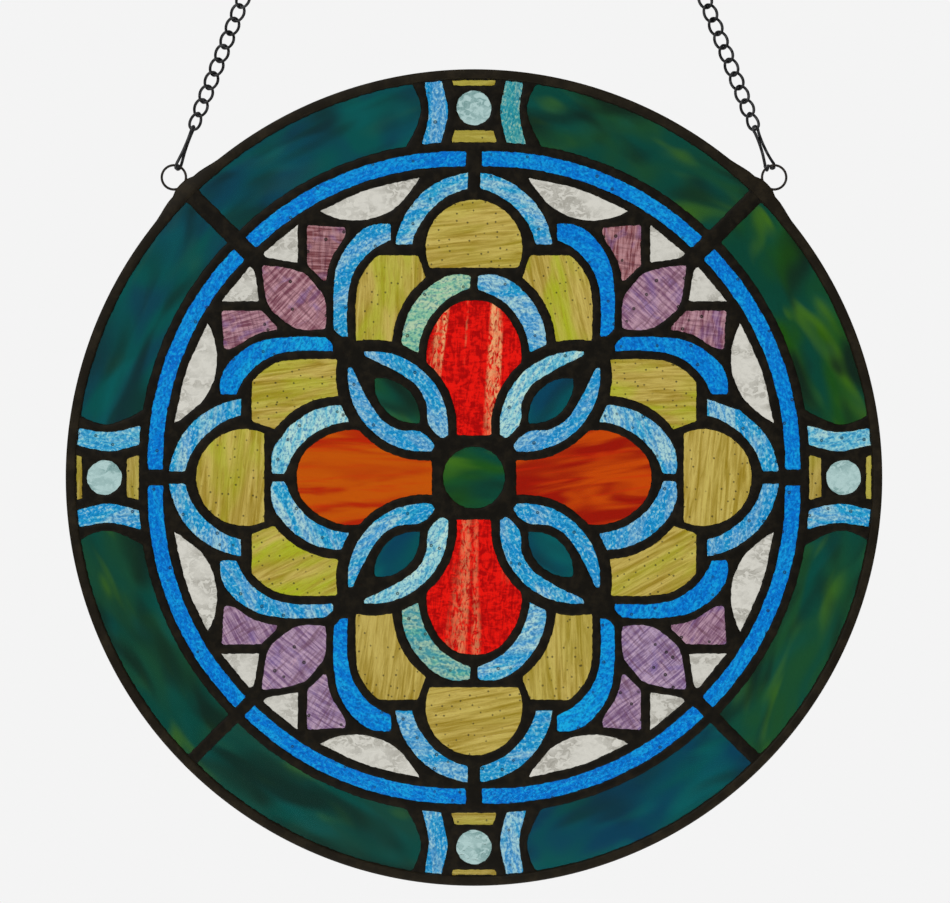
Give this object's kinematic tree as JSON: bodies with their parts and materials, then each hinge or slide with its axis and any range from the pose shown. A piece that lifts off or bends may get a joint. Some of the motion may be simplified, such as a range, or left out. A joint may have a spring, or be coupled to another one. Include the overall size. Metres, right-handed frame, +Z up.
{
  "type": "stained glass window",
  "caption": "Round leaded glass window panel with a four-petal pattern in a blackened metal rim, hung by two chains on wire hooks and rings.",
  "frame": {"origin": "midway between the two top rings that the panel hangs on, at the height of their centres", "axes": "+Z up, +X to the right as seen from the front, -Y out of the front face; the panel hangs in the XZ plane"},
  "size_m": [0.5574, 0.0128, 0.6347],
  "materials": {
    "black_solder": "blackened solder, satin",
    "black_wire": "blackened steel wire, satin",
    "green_glass": "streaky dark green and teal, smooth",
    "red_glass": "streaky red",
    "orange_glass": "streaky orange",
    "amber_glass": "streaky amber with seeds",
    "violet_glass": "pale violet, cross streaked",
    "clear_glass": "clear, hammered",
    "blue_glass": "rippled blue"
  },
  "bodies": {
    "root": {"rim_channel": "black_solder", "leadwork": "black_solder", "chain_left": "black_wire", "chain_right": "black_wire", "hook_left": "black_wire", "hook_right": "black_wire", "ring_left": "black_solder", "ring_right": "black_solder", "top_ring_left": "black_wire", "top_ring_right": "black_wire", "centre_roundel": "green_glass", "border_1": "green_glass", "border_10": "green_glass", "border_11": "green_glass", "border_2": "green_glass", "border_4": "green_glass", "border_5": "green_glass", "border_7": "green_glass", "border_8": "green_glass", "cap_bottom": "amber_glass", "cap_left": "amber_glass", "cap_right": "amber_glass", "cap_top": "amber_glass", "circlet_1": "blue_glass", "circlet_10": "blue_glass", "circlet_11": "blue_glass", "circlet_2": "blue_glass", "circlet_4": "blue_glass", "circlet_5": "blue_glass", "circlet_7": "blue_glass", "circlet_8": "blue_glass", "clear_1": "clear_glass", "clear_10": "clear_glass", "clear_11": "clear_glass", "clear_2": "clear_glass", "clear_4": "clear_glass", "clear_5": "clear_glass", "clear_7": "clear_glass", "clear_8": "clear_glass", "leaf_lower_left": "green_glass", "leaf_lower_right": "green_glass", "leaf_upper_left": "green_glass", "leaf_upper_right": "green_glass", "lobe_1": "amber_glass", "lobe_10": "amber_glass", "lobe_11": "amber_glass", "lobe_2": "amber_glass", "lobe_4": "amber_glass", "lobe_5": "amber_glass", "lobe_7": "amber_glass", "lobe_8": "amber_glass", "petal_bottom": "red_glass", "petal_left": "orange_glass", "petal_right": "red_glass", "petal_top": "red_glass", "violet_lower_left": "violet_glass", "violet_lower_right": "violet_glass", "violet_upper_left": "violet_glass", "violet_upper_right": "violet_glass"}
  },
  "joints": []
}
